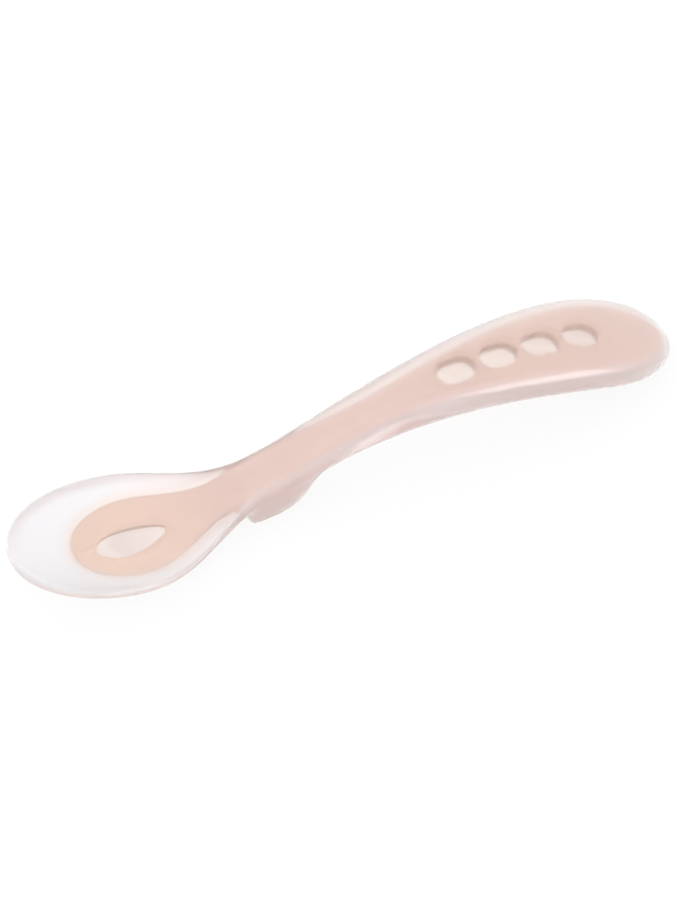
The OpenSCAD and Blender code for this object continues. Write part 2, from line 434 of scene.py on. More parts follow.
class SpoonForm:
    """The spoon's outer form and the core in it, as fields of one tree."""

    # Steps of the line, and how many of its end's roundings hold the lowest point under the handle
    SPINE_STEPS = 400
    END_ROUNDS = 2.5
    # Share of each slope of the foot, along and across it, that a rounding takes
    FOOT_ROUNDNESS = 0.35
    FLANK_ROUNDNESS = 0.25
    # How strongly the rings gather at the ends, and the points of a ring at its two edges
    RING_GATHERING = 0.97
    POINT_GATHERING = 0.35
    # Distance within which points join, and a number that counts as 0
    WELD = 0.0004
    TINY = 0.0001
    # Least half thickness that a height is measured by
    LEAST_HALF = 0.1
    # Corners of a round cutter, its rings, and how far it stands out of what it cuts
    CUTTER_CORNERS = 72
    CUTTER_RINGS = 48
    CUTTER_REACH = 0.08
    # Depth of the opening's cutter over the tongue's thickness, and what counts as a drum's middle
    LOOP_REACH = 4.0
    DRUM_MIDDLE = 0.001

    def __init__(self, graph: Graph, rings: int, around: int, *groups: Any) -> None:
        """Adds the sizes to the tree and works out the spoon's line and where its parts are.

        Args:
            graph: The tree.
            rings: Number of rings of a surface.
            around: Number of faces round each ring.
            *groups: Dataclass objects that hold sizes.
        """
        self.rings, self.around = rings, around
        self.graph = graph
        self.n = n = graph.sizes(*groups)
        self.neck_at = n.bowl_front + n.bowl_back
        self.handle_at = self.neck_at + n.grip_length
        self.length = self.handle_at + n.end_length
        self.thicken_start = n.bowl_front + n.hollow_back - n.thicken_lead
        self.neck_full = self.neck_at + n.thicken_run
        self.handle_full = self.neck_at + n.handle_run
        self.plate_full = self.neck_at + n.plate_run
        self.tongue_at = n.tongue_start + n.tongue_front
        self.tongue_end = self.tongue_at + n.tongue_back
        self.core_end = self.length - n.end_skin
        self.step = self.length / self.SPINE_STEPS
        self.line = self._line()
        self.lift = self._lift()

    def _line(self) -> Socket:
        """The spoon's line in the XZ plane, as a row of points."""
        g = self.graph
        row = g.out("GeometryNodeMeshLine", {"Count": self.SPINE_STEPS + 1})
        number = g.index()
        turn = self.slope((number - 0.5) * self.step)
        stride = g.choose(number > 0.5, self.step, 0.0)
        links = {0: g.vector(stride * turn.cos(), 0.0, stride * turn.sin())}
        run = g.value("GeometryNodeAccumulateField", links, data_type="FLOAT_VECTOR")
        return g.moved(row, run)

    def _lift(self) -> "Field":
        """Height of the line over the surface that the spoon stands on."""
        g = self.graph
        s = g.index() * self.step
        height = g.parts(g.position())[2] - self.slope(s).cos() * self.half_thickness(s)
        near_end = s > self.length - self.END_ROUNDS * self.n.end_round
        links = {"Geometry": self.line, "Selection": near_end, "Attribute": height}
        lowest = g.add("GeometryNodeAttributeStatistic", links)
        return -self.n.heel_cut - Field(g, lowest.outputs["Min"])

    def slope(self, s: Any) -> "Field":
        """Angle of the line over the horizontal, in radians."""
        g, n = self.graph, self.n
        rise = g.blend(-n.tip_rise, n.neck_rise, g.ease((s - n.rise_start) / n.rise_length))
        past_crest = g.clip((s - n.crest_start) / (self.length - n.crest_start))
        fall = (n.neck_rise + n.end_drop) * past_crest
        return (rise - fall) * math.radians(1.0)

    def on_line(self, s: Any) -> tuple["Field", "Field"]:
        """X and Z of the line at a distance from the tip."""
        g = self.graph
        steps = s / self.step
        number = g.least(steps.floor(), self.SPINE_STEPS - 1.0)
        ends = []
        for shift in (0.0, 1.0):
            links = {"Geometry": self.line, "Value": g.position(), "Index": number + shift}
            spot = g.value("GeometryNodeSampleIndex", links, data_type="FLOAT_VECTOR")
            ends.append(g.parts(spot))
        share = steps - number
        return g.blend(ends[0][0], ends[1][0], share), g.blend(ends[0][2], ends[1][2], share)

    def half_width(self, s: Any) -> "Field":
        """Half of the spoon's width."""
        g, n = self.graph, self.n
        front = n.bowl_width / 2.0 * g.closing((n.bowl_front - s) / n.bowl_front)
        share = g.clip((s - n.bowl_front) / n.bowl_back) ** n.bowl_fullness
        back = g.blend(n.bowl_width / 2.0, n.neck_width / 2.0, 0.5 - 0.5 * (share * math.pi).cos())
        share = g.clip((s - self.neck_at) / n.grip_length) ** n.grip_fullness
        grip = g.blend(n.neck_width / 2.0, n.handle_width / 2.0, g.ease(share))
        closed = g.closing((s - self.handle_at) / n.end_length, n.end_squareness)
        end = n.handle_width / 2.0 * closed
        rest = g.choose(s < self.neck_at, back, g.choose(s < self.handle_at, grip, end))
        return g.choose(s < n.bowl_front, front, rest)

    def neck_share(self, s: Any) -> "Field":
        """How far the bowl's wall has thickened into the neck, from 0 to 1."""
        return self.graph.ease((s - self.thicken_start) / (self.neck_full - self.thicken_start))

    def half_thickness(self, s: Any) -> "Field":
        """Half of the spoon's thickness."""
        g, n = self.graph, self.n
        handle = g.ease((s - self.neck_full) / (self.handle_full - self.neck_full))
        body = g.blend(n.bowl_wall, n.neck_thickness, self.neck_share(s))
        body = body + (n.handle_thickness - n.neck_thickness) * handle
        tip = g.closing(1.0 - 2.0 * s / n.bowl_wall)
        end = g.closing((s - self.length + n.end_round) / n.end_round)
        return body / 2.0 * tip * end

    def dish(self, s: Any, u: Any) -> "Field":
        """Height of the middle of the wall over the line, at the place u across it."""
        g, n = self.graph, self.n
        front = (self.half_width(s) * 2.0 / n.bowl_width) ** 2.0
        back = 1.0 - g.ease((s - n.bowl_front) / n.hollow_back)
        return -n.bowl_depth * g.choose(s < n.bowl_front, front, back) * (1.0 - u * u)

    def squareness(self, s: Any, width: Any, radius: Any, full: Any) -> "Field":
        """How square a section is: a rim of the given radius that turns into the handle's oval."""
        g, n = self.graph, self.n
        edge = g.most(2.0, g.least(n.edge_squareness, 2.0 * width / radius))
        start = self.neck_at - n.edge_lead
        return g.blend(edge, full, g.ease((s - start) / (n.edge_lead + n.edge_run)))

    def foot_share(self, s: Any, y: Any, inset: Any) -> "Field":
        """Share of the foot at a place, with its sides drawn in by inset."""
        g, n = self.graph, self.n
        start = n.foot_front - n.foot_front_run
        back_at = n.foot_front + n.foot_sole
        front = g.ramp((s - start - inset) / n.foot_front_run, self.FOOT_ROUNDNESS)
        back = 1.0 - g.ease(g.clip((s - back_at + inset) / n.foot_back_run) ** n.foot_fullness)
        half = n.foot_width / 2.0 - inset
        side = g.ramp((half - y.size()) / (half * (1.0 - n.foot_squareness)), self.FLANK_ROUNDNESS)
        return g.least(front, back) * side

    def place(self, s: Any, y: Any, h: Any) -> "Field":
        """A point of a section, at the distance s, y across and h over the line."""
        g = self.graph
        x, z = self.on_line(s)
        turn = self.slope(s)
        height = g.most(0.0, z + self.lift + turn.cos() * h)
        return g.vector(x - turn.sin() * h, y, height)

    def sole_height(self, s: Any) -> "Field":
        """Height over the line of the plane that the spoon stands on."""
        return -(self.on_line(s)[1] + self.lift) / self.slope(s).cos()

    def sheet(self, start: Any, end: Any) -> tuple[Any, Any, Any, Any]:
        """A grid whose rows are the rings of a closed form.

        Args:
            start: Distance of the first ring from the tip.
            end: Distance of the last ring.

        Returns:
            The grid, the distance s of each point, its place u across, and 1 for the underside.
        """
        g = self.graph
        counts = {"Vertices X": self.rings, "Vertices Y": self.around + 1}
        grid = g.out("GeometryNodeMeshGrid", {"Size X": 1.0, "Size Y": 1.0, **counts})
        x, y, _ = g.parts(g.position())
        t = x + 0.5
        round_ends = 0.5 - 0.5 * (t * math.pi).cos()
        s = g.blend(start, end, g.blend(t, round_ends, self.RING_GATHERING))
        fold = 1.0 - (2.0 * y).size()
        angle = fold * math.pi - self.POINT_GATHERING * (fold * math.tau).sin()
        under_side = g.most(y < self.TINY, fold < self.TINY)
        return grid, s, -angle.cos(), under_side

    def oval_depth(self, ahead: Any, y: Any, width: Any) -> "Field":
        """Depth in an oval front, at a share of its length ahead and y across, below 0 outside."""
        across = 2.0 * y / width
        return width / 2.0 * (1.0 - (ahead * ahead + across * across).root())

    def edge_depth(self, s: Any, y: Any) -> "Field":
        """How far in from the spoon's outline a place is, seen from above."""
        g, n = self.graph, self.n
        front = self.oval_depth((n.bowl_front - s) / n.bowl_front, y, n.bowl_width)
        back = g.least(self.half_width(s) - y.size(), self.length - s)
        return g.choose(s < n.bowl_front, front, back)

    def faces(self, middle: Any, t: Any, u: Any, under: Any, top: Any) -> tuple["Field", "Field"]:
        """Heights of a section's underside and top, each with its own squareness, at u across."""
        low = middle - t * (1.0 - u.size() ** under).root()
        return low, middle + t * (1.0 - u.size() ** top).root()

    def closed(self, surface: Socket) -> Socket:
        """Joins the seam and the poles of a surface and turns its faces outwards."""
        g = self.graph
        merged = g.out("GeometryNodeMergeByDistance", {"Geometry": surface, "Distance": self.WELD})
        return g.out("GeometryNodeFlipFaces", {"Mesh": merged})

    def core_half_width(self, s: Any) -> "Field":
        """Half of the core's width."""
        g, n = self.graph, self.n
        neck = n.neck_width / 2.0 - n.neck_skin
        share = g.ease((s - self.neck_at) / n.plate_run)
        wall = g.blend(n.neck_skin, n.side_skin, share)
        tongue = n.tongue_width / 2.0 * g.closing((self.tongue_at - s) / n.tongue_front)
        back = g.blend(n.tongue_width / 2.0, neck, g.ease((s - self.tongue_at) / n.tongue_back))
        grip = self.half_width(s) - wall
        run = n.end_length - n.end_skin
        closed = g.closing((s - self.handle_at) / run, n.end_squareness)
        end = (n.handle_width / 2.0 - n.side_skin) * closed
        rest = g.choose(s < self.neck_at, neck, g.choose(s < self.handle_at, grip, end))
        return g.choose(s < self.tongue_at, tongue, g.choose(s < self.tongue_end, back, rest))

    def plate_share(self, s: Any) -> "Field":
        """How far the rod in the neck has turned into the plate, from 0 to 1."""
        return self.graph.ease((s - self.neck_full) / (self.plate_full - self.neck_full))

    def core_half_thickness(self, s: Any) -> "Field":
        """Half of the core's thickness."""
        g, n = self.graph, self.n
        rod = n.neck_thickness - n.neck_skin - n.neck_top
        body = g.blend(n.tongue_thickness, rod, self.neck_share(s))
        body = body + (n.plate_thickness - rod) * self.plate_share(s)
        tip = g.closing(1.0 - 2.0 * (s - n.tongue_start) / n.tongue_thickness)
        end = g.closing(1.0 - 2.0 * (self.core_end - s) / n.plate_thickness)
        return body / 2.0 * tip * end

    def core_depth(self, s: Any, y: Any) -> "Field":
        """How far in from the core's outline a place is, seen from above."""
        g, n = self.graph, self.n
        front = self.oval_depth((self.tongue_at - s) / n.tongue_front, y, n.tongue_width)
        back = g.least(self.core_half_width(s) - y.size(), self.core_end - s)
        return g.choose(s < self.tongue_at, front, back)

    def window_depth(self, s: Any, y: Any) -> "Field":
        """How far in from the nearest window's edge a place is, seen from above."""
        g, n = self.graph, self.n
        last = n.window_count - 1.0
        place = (s - self.length + n.window_row) / n.window_pitch + last / 2.0
        nearest = g.least(g.most((place + 0.5).floor(), 0.0), last)
        away = ((place - nearest) * n.window_pitch).size()
        past = g.most(away - (n.window_length - n.window_width) / 2.0, 0.0)
        return n.window_width / 2.0 - (past * past + y * y).root()

    def outer(self) -> Socket:
        """The closed outer surface of the spoon.

        Returns:
            The surface.
        """
        g, n = self.graph, self.n
        grid, s, u, under_side = self.sheet(0.0, self.length)
        w, t = self.half_width(s), self.half_thickness(s)
        top = self.squareness(s, w, g.least(t, n.rim_edge), n.top_squareness)
        under = self.squareness(s, w, t, n.under_squareness)
        y, middle = w * u, self.dish(s, u)
        low, high = self.faces(middle, t, u, under, top)
        deep = self.sole_height(s) - n.sole_cut
        low = g.blend(low, g.least(low, deep), self.foot_share(s, y, 0.0))
        above = (g.choose(under_side, low, high) - middle) / g.most(t, self.LEAST_HALF)
        grid = g.marked(grid, EDGE_DEPTH, self.edge_depth(s, y))
        grid = g.marked(grid, CORE_DEPTH, self.core_depth(s, y))
        grid = g.marked(grid, WINDOW_DEPTH, self.window_depth(s, y))
        grid = g.marked(grid, SIDE_HEIGHT, above)
        shaped = g.moved(grid, self.place(s, y, g.choose(under_side, low, high)))
        return self.closed(shaped)

    def solid(self) -> Socket:
        """The closed surface of the core, before its openings are cut.

        Returns:
            The surface.
        """
        g, n = self.graph, self.n
        grid, s, u, under_side = self.sheet(n.tongue_start, self.core_end)
        w, t = self.core_half_width(s), self.core_half_thickness(s)
        top = self.squareness(s, w, t, n.top_squareness)
        under = self.squareness(s, w, t, n.under_squareness)
        y = w * u
        sunk = (n.neck_skin - n.neck_top) / 2.0 * self.neck_share(s)
        raised = g.blend(sunk, n.plate_lift, self.plate_share(s))
        middle = raised + self.dish(s, y / self.half_width(s))
        low, high = self.faces(middle, t, u, under, top)
        deep = self.sole_height(s) + n.sole_skin
        low = g.blend(low, g.least(low, deep), self.foot_share(s, y, n.neck_skin))
        rim = g.least(w * (1.0 - u.size()), self.core_end - s)
        grid = g.marked(grid, RIM_DISTANCE, rim)
        shaped = g.moved(grid, self.place(s, y, g.choose(under_side, low, high)))
        return self.closed(shaped)

    def on_spoon(self, cutter: Any, points: Any, s: Any, height: Any) -> Socket:
        """Places a copy of a cutter at each point, on the spoon's line and turned with it.

        Args:
            cutter: The cutter's mesh.
            points: Points, one for each copy.
            s: Distance of each copy from the tip.
            height: Height of each copy's middle over the line.

        Returns:
            The copies, as real geometry.
        """
        g = self.graph
        turn = self.slope(s)
        turned = g.value("FunctionNodeEulerToRotation", {0: g.vector(0.0, -turn, 0.0)})
        placed = g.moved(points, self.place(s, 0.0, height))
        links = {"Points": placed, "Instance": cutter, "Rotation": turned}
        copies = g.out("GeometryNodeInstanceOnPoints", links)
        return g.out("GeometryNodeRealizeInstances", {0: copies})

    def drum(self, rings: int, depth: Any) -> Socket:
        """A drum of radius 1, whose sides have the given number of rings."""
        links = {"Vertices": self.CUTTER_CORNERS, "Side Segments": rings, "Radius": 1.0}
        return self.graph.out("GeometryNodeMeshCylinder", {**links, "Depth": depth})

    def loop_cutter(self) -> Socket:
        """The egg-shaped opening in the tongue, blunt towards the tip."""
        g, n = self.graph, self.n
        drum = self.drum(1, self.LOOP_REACH * n.tongue_thickness)
        x, y, z = g.parts(g.position())
        half_width = n.loop_width / 2.0 * (1.0 - n.loop_taper * x)
        egg = g.moved(drum, g.vector(n.loop_length / 2.0 * x, half_width * y, z))
        point = g.out("GeometryNodeMeshLine", {"Count": 1})
        s = n.tongue_start + n.loop_inset + n.loop_length / 2.0
        return self.on_spoon(egg, point, s, self.dish(s, 0.0 * s))

    def window_cutters(self) -> Socket:
        """The row of windows in the handle, each with round ends and softened edges."""
        g, n = self.graph, self.n
        half = n.plate_thickness / 2.0
        drum = self.drum(self.CUTTER_RINGS, 2.0 * (half + self.CUTTER_REACH))
        x, y, z = g.parts(g.position())
        rounding = n.window_fillet + self.CUTTER_REACH
        depth = g.clip((z.size() - half + n.window_fillet) / rounding)
        flare = rounding * (1.0 - (1.0 - depth * depth).root())
        radius = n.window_width / 2.0 + flare
        side = g.choose(x.size() < self.DRUM_MIDDLE, 0.0, x / g.most(x.size(), self.TINY))
        shift = side * (n.window_length - n.window_width) / 2.0
        shaped = g.moved(drum, g.vector(x * radius + shift, y * radius, z))
        row = g.out("GeometryNodeMeshLine", {"Count": n.window_count})
        s = self.length - n.window_row + (g.index() - (n.window_count - 1.0) / 2.0) * n.window_pitch
        return self.on_spoon(shaped, row, s, n.plate_lift)

    def cut(self) -> Socket:
        """The core with its openings.

        Returns:
            The surface.
        """
        g = self.graph
        solid = self.solid()
        node = g.add("GeometryNodeMeshBoolean", {"Mesh 1": solid}, operation="DIFFERENCE")
        for cutter in (self.loop_cutter(), self.window_cutters()):
            g.feed(node.inputs["Mesh 2"], cutter)
        known = g.value("GeometryNodeInputNamedAttribute", {"Name": RIM_DISTANCE})
        nearest = g.value("GeometryNodeSampleNearestSurface", {"Mesh": solid, "Value": known})
        return g.marked(node.outputs["Mesh"], RIM_DISTANCE, nearest)


class Shader(Nodes):
    """A material's node tree, with the few nodes that the finishes share."""

    # Range of a noise value that is spread over a wanted range
    NOISE_FROM = 0.15
    NOISE_TO = 0.85

    def __init__(self, name: str) -> None:
        """Starts a material with a Principled shader."""
        self.material = bpy.data.materials.new(name)
        self.material.use_nodes = True
        super().__init__(self.material.node_tree)
        self.surface = self.tree.nodes["Principled BSDF"]
        self.output = self.tree.nodes["Material Output"]

    def math(self, operation: str, first: Any, second: Any) -> Socket:
        """The result of one Math node."""
        return self.out("ShaderNodeMath", {0: first, 1: second}, operation=operation)

    def set(self, **values: Any) -> None:
        """Sets the Principled shader's own sockets, named with underscores for spaces."""
        for key, value in values.items():
            self.feed(self.surface.inputs[key.replace("_", " ")], value)

    def place(self) -> Socket:
        """Place on the piece, in metres."""
        return self.add("ShaderNodeTexCoord", {}).outputs["Object"]

    def along(self, place: Any) -> Socket:
        """Distance along the spoon, in metres, from a place on it."""
        return self.out("ShaderNodeSeparateXYZ", {0: place})

    def noise(self, place: Any, grain: float, detail: float) -> Socket:
        """Soft cloudy variation, with patches so many millimetres wide and finer octaves."""
        links = {"Vector": place, "Scale": 1.0 / (grain * MM), "Detail": detail}
        return self.add("ShaderNodeTexNoise", links).outputs["Fac"]

    def stored(self, name: str) -> Socket:
        """A value that the piece's tree stored on its mesh."""
        return self.add("ShaderNodeAttribute", {}, attribute_name=name).outputs["Fac"]

    def fade(self, value: Socket, start: Any, end: Any) -> Socket:
        """1 up to the start, and smoothly down to 0 at the end."""
        links = {"Value": value, "From Min": end, "From Max": start}
        return self.out("ShaderNodeMapRange", links, interpolation_type="SMOOTHSTEP")

    def product(self, first: Any, second: Any) -> Socket:
        """One value times another."""
        return self.math("MULTIPLY", first, second)

    def band(self, along: Any, ends: Sequence[float]) -> Socket:
        """1 on a stretch of the spoon, whose start, full start, full end and end are given."""
        start, full, until, gone = (end * MM for end in ends)
        return self.product(self.fade(along, full, start), self.fade(along, until, gone))

    def between(self, share: Any, first: float, second: float) -> Socket:
        """The number at a share of the way between two numbers."""
        return self.out("ShaderNodeMix", {0: share, 2: first, 3: second})

    def mixed(self, share: Any, first: Any, second: Any, way: str = "MIX") -> Socket:
        """The colour at a share of the way between two colours, or of them mixed in another way."""
        links: Links = {0: share}
        for key, colour in ((6, first), (7, second)):
            links[key] = colour if isinstance(colour, Socket) else (*colour, 1.0)
        return self.add("ShaderNodeMix", links, data_type="RGBA", blend_type=way).outputs[2]

    def spread(self, value: Socket, low: float, high: float) -> Socket:
        """Maps a noise value to the range from low to high."""
        given = {"From Min": self.NOISE_FROM, "From Max": self.NOISE_TO}
        links = {"Value": value, **given, "To Min": low, "To Max": high}
        return self.out("ShaderNodeMapRange", links)

    def bump(self, height: Any, strength: float, distance: float) -> Socket:
        """The normal of a relief, shown at a strength and so many millimetres high."""
        links = {"Height": height, "Strength": strength, "Distance": distance * MM}
        return self.add("ShaderNodeBump", links).outputs["Normal"]


@dataclass(frozen=True)
class CoreFinish:
    """Moulded pink plastic with a fine matt grain, whose colour changes a little along it; part of
    that change is painted shade and painted light, and its edges on the handle are painted paler as
    a haze of light scattered in the silicone over them.
    """

    # Places along the spoon and the colours there: tongue, neck, handle, its middle and its grip.
    # The tongue, neck and handle stops are the core's tones; the darker middle stop is painted
    # shade and the lighter grip stop is painted light along the handle.
    colours: tuple[tuple[float, Colour], ...] = (
        (-48.0, (1.0, 0.85, 0.755)),
        (-25.0, (0.885, 0.735, 0.7)),
        (5.0, (0.865, 0.725, 0.675)),
        (25.0, (0.85, 0.7, 0.65)),
        (48.0, (0.892, 0.742, 0.695)),
    )
    # Painted haze of light: the core's edges on the handle are paled to this colour, standing in
    # for light scattered in the milky silicone over them.
    rim: Colour = (0.95, 0.82, 0.8)
    rim_width: float = 2.0
    rim_full: float = 5.0
    rim_from: float = -25.0
    ramp_from: float = -62.0
    ramp_to: float = 62.0
    cloud_width: float = 9.0
    cloud_detail: float = 3.0
    cloud_shade: Pair = (0.985, 1.015)
    grain_width: float = 0.22
    grain_detail: float = 2.0
    grain_strength: float = 0.12
    grain_height: float = 0.015
    roughness: Pair = (0.52, 0.62)
    specular: float = 0.15

    def material(self) -> Material:
        """Builds the material.

        Returns:
            The finish of the core.
        """
        shader = Shader("matt_pink_plastic")
        place = shader.place()
        along = shader.along(place)
        first, last = self.ramp_from * MM, self.ramp_to * MM
        links = {"Value": along, "From Min": first, "From Max": last}
        # The ramp gives the core's tones, with painted shade at the handle's middle and painted
        # light at its grip.
        ramp = shader.add("ShaderNodeValToRGB", {"Fac": shader.out("ShaderNodeMapRange", links)})
        stops = ramp.color_ramp.elements
        while len(stops) < len(self.colours):
            stops.new(0.5)
        for stop, (x, colour) in zip(stops, self.colours):
            stop.position = (x * MM - first) / (last - first)
            stop.color = (*colour, 1.0)
        # Painted haze of scattered light: the core is paled near its edges, from the neck on.
        handle = shader.fade(along, self.rim_full * MM, self.rim_from * MM)
        rim = shader.fade(shader.stored(RIM_DISTANCE), 0.0, self.rim_width)
        pale = shader.mixed(shader.product(handle, rim), ramp.outputs["Color"], self.rim)
        cloud = shader.noise(place, self.cloud_width, self.cloud_detail)
        shade = shader.spread(cloud, *self.cloud_shade)
        grain = shader.noise(place, self.grain_width, self.grain_detail)
        shader.set(
            Base_Color=shader.mixed(1.0, pale, shade, "MULTIPLY"),
            Roughness=shader.spread(cloud, *self.roughness),
            Specular_IOR_Level=self.specular,
            Normal=shader.bump(grain, self.grain_strength, self.grain_height),
        )
        return shader.material


@dataclass(frozen=True)
class SiliconeFinish:
    """Clear, slightly milky and glossy silicone, painted with light and shade: a pink glow of light
    scattered from the core over and beside it, on its flanks and in the windows, and painted shade
    over the tongue's middle.
    """

    clear: Colour = (0.975, 0.958, 0.975)
    # Painted light: pink glow of light scattered from the core into the silicone over and near it.
    tinted: Colour = (0.98, 0.87, 0.82)
    # Painted light: pink glow on the flanks, from the core's light scattered through them.
    flank: Colour = (0.98, 0.83, 0.81)
    # Painted shade: darker pink over the middle of the tongue and its opening, in the bowl.
    thick: Colour = (0.88, 0.77, 0.74)
    thick_from: float = 5.2
    thick_full: float = 6.6
    bowl_glow: float = 2.2
    handle_glow: float = 4.5
    glow_from: float = -52.0
    glow_full: float = -36.0
    # Painted light: warm glow bounced from the core's walls into the windows.
    pane: Colour = (0.925, 0.8, 0.72)
    # Painted light: stronger pink glow on the flanks where the rod widens into the plate.
    snug: Colour = (0.84, 0.6, 0.58)
    # Painted light: pink glow in the clear margin beside the core, along the neck and handle.
    margin_glow: Colour = (0.93, 0.8, 0.755)
    snug_band: Sequence[float] = (-1.0, 10.0, 9.0, 21.0)
    margin_band: Sequence[float] = (-44.0, -30.0, 22.0, 38.0)
    margin_fade: Pair = (-0.6, 0.3)
    pane_fade: Pair = (0.5, -0.5)
    top_from: Pair = (-0.3, 0.15)
    top_full: Pair = (0.6, 0.7)
    edge_width: float = 1.8
    bowl_milk: float = 0.45
    handle_milk: float = 0.18
    edge_clears: float = 0.7
    flank_glow_share: float = 0.9
    clearness: float = 0.93
    refraction: float = 1.41
    wave_width: float = 6.0
    wave_detail: float = 1.0
    wave_strength: float = 0.05
    wave_height: float = 0.02
    roughness: Pair = (0.32, 0.38)
    gloss: float = 0.025

    def material(self) -> Material:
        """Builds the material.

        Returns:
            The finish of the silicone.
        """
        shader = Shader("clear_silicone")
        place = shader.place()
        wave = shader.noise(place, self.wave_width, self.wave_detail)
        along = shader.along(place)
        in_bowl = shader.fade(along, self.glow_from * MM, self.glow_full * MM)
        core_depth = shader.stored(CORE_DEPTH)
        reach = shader.between(in_bowl, self.handle_glow, self.bowl_glow)
        # Painted light: the pink glow fades with the distance from the core's outline, over a
        # shorter reach in the bowl, and less at the top edges.
        away = shader.math("DIVIDE", core_depth, reach)
        snug = shader.band(along, self.snug_band)
        beside = shader.band(along, self.margin_band)
        top_from = shader.between(snug, *self.top_from)
        top_full = shader.between(snug, *self.top_full)
        top = shader.fade(shader.stored(SIDE_HEIGHT), top_full, top_from)
        edge = shader.fade(shader.stored(EDGE_DEPTH), 0.0, self.edge_width)
        top_edge = shader.product(edge, top)
        flank = shader.math("SUBTRACT", edge, top_edge)
        tinting = shader.math("SUBTRACT", 1.0, shader.product(top_edge, self.edge_clears))
        glow = shader.product(shader.fade(away, 0.0, -1.0), tinting)
        # Painted shade over the middle of the tongue.
        shaded_middle = shader.product(shader.fade(core_depth, self.thick_full, self.thick_from), in_bowl)
        deep = shader.mixed(shaded_middle, self.tinted, self.thick)
        # Painted glow in the clear margin beside the core.
        margin = shader.product(beside, shader.fade(core_depth, *self.margin_fade))
        painted_glow_and_shade = shader.mixed(margin, deep, self.margin_glow)
        # Painted glow in the windows.
        pane = shader.fade(shader.stored(WINDOW_DEPTH), *self.pane_fade)
        painted_glow_and_shade = shader.mixed(pane, painted_glow_and_shade, self.pane)
        # The silicone's own clear colour, with the painted glow and shade over and near the core.
        near = shader.mixed(glow, self.clear, painted_glow_and_shade)
        # Painted glow on the flanks, stronger where the rod widens into the plate.
        flush = shader.product(flank, self.flank_glow_share)
        side = shader.mixed(snug, self.flank, self.snug)
        milk = shader.product(edge, shader.between(in_bowl, self.handle_milk, self.bowl_milk))
        shader.set(
            Base_Color=shader.mixed(flush, near, side),
            Transmission_Weight=shader.math("SUBTRACT", self.clearness, milk),
            IOR=self.refraction,
            Roughness=shader.spread(wave, *self.roughness),
            Specular_IOR_Level=0.0,
            Coat_Weight=1.0,
            Coat_Roughness=self.gloss,
            Coat_IOR=self.refraction,
            Normal=shader.bump(wave, self.wave_strength, self.wave_height),
        )
        return shader.material


@dataclass(frozen=True)
class FloorFinish:
    """Pale floor that shows white and keeps the spoon's shadow."""

    colour: Colour = (0.94, 0.94, 0.94)
    white_share: float = 0.88
    cloud_width: float = 60.0
    cloud_detail: float = 2.0
    roughness: Pair = (0.85, 0.95)

    def material(self) -> Material:
        """Builds the material.

        Returns:
            The finish of the floor.
        """
        shader = Shader("pale_floor")
        cloud = shader.noise(shader.place(), self.cloud_width, self.cloud_detail)
        rough = shader.spread(cloud, *self.roughness)
        shader.set(Base_Color=(*self.colour, 1.0), Roughness=rough, Specular_IOR_Level=0.0)
        share = shader.product(Studio.seen(shader), self.white_share)
        glow = shader.out("ShaderNodeEmission", {"Strength": 1.0})
        links = {0: share, 1: shader.surface.outputs[0], 2: glow}
        mixed = shader.out("ShaderNodeMixShader", links)
        shader.feed(shader.output.inputs["Surface"], mixed)
        return shader.material


@dataclass
class InnerCore:
    """Rigid insert: the bowl's tongue, the neck with the foot's heart, and the handle's plate."""

    body: BodySizes
    sizes: CoreSizes = field(default_factory=CoreSizes)
    finish: CoreFinish = field(default_factory=CoreFinish)
    rings: int = 400
    around: int = 80

    def mesh(self, material: Material) -> Mesh:
        """Lofts the core and cuts its openings.

        Args:
            material: The core's finish.

        Returns:
            The core's mesh, in millimetres, with its tip at the line's start.
        """
        graph = Graph("core_loft")
        form = SpoonForm(graph, self.rings, self.around, self.body, self.sizes)
        graph.finish(form.cut(), material)
        return graph.mesh(Node.CORE.value + "_form")


@dataclass
class SiliconeSkin:
    """Clear silicone moulded round the core, which fills the core's openings."""

    body: BodySizes
    core: CoreSizes = field(default_factory=CoreSizes)
    finish: SiliconeFinish = field(default_factory=SiliconeFinish)
    rings: int = 440
    around: int = 112
    overlap: float = 0.03

    def mesh(self, core: Mesh) -> Mesh:
        """Lofts the outer form and adds the bed that the core lies in.

        Args:
            core: The core's mesh, in millimetres.

        Returns:
            The skin's mesh, in millimetres.
        """
        graph = Graph("skin_loft")
        form = SpoonForm(graph, self.rings, self.around, self.body, self.core)
        insert = linked("core_insert", core)
        info = graph.add("GeometryNodeObjectInfo", {"Object": insert})
        normal = graph.value("GeometryNodeInputNormal", {})
        inward = graph.scaled(normal, -graph.size("overlap", self.overlap))
        links = {"Geometry": info.outputs["Geometry"], "Offset": inward}
        bed = graph.out("GeometryNodeSetPosition", links)
        hollow = graph.out("GeometryNodeFlipFaces", {"Mesh": bed})
        both = graph.add("GeometryNodeJoinGeometry", {})
        for part in (hollow, form.outer()):
            graph.feed(both.inputs[0], part)
        graph.finish(both.outputs[0], self.finish.material())
        mesh = graph.mesh(Node.SKIN.value + "_form")
        bpy.data.objects.remove(insert)
        return mesh


class Piece:
    """Turns finished meshes into pieces of the part."""

    # Angle between faces, in degrees, over which an edge stays sharp
    SHARP_OVER = 38.0

    @staticmethod
    def make(name: str, mesh: Mesh, shift: float, node: Node, slot: Slot) -> None:
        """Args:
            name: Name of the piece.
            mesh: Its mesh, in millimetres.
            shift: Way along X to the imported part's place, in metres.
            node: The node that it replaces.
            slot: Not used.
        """
        mesh.transform(Matrix.Translation((shift, 0.0, 0.0)) @ Matrix.Scale(MM, 4))
        mesh.name = name
        mesh.set_sharp_from_angle(angle=math.radians(Piece.SHARP_OVER))
        piece = linked(name, mesh)
        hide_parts(node.value)
        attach(piece, "root")
        mesh.calc_loop_triangles()
        log.info("%s: %d triangles", name, len(mesh.loop_triangles))


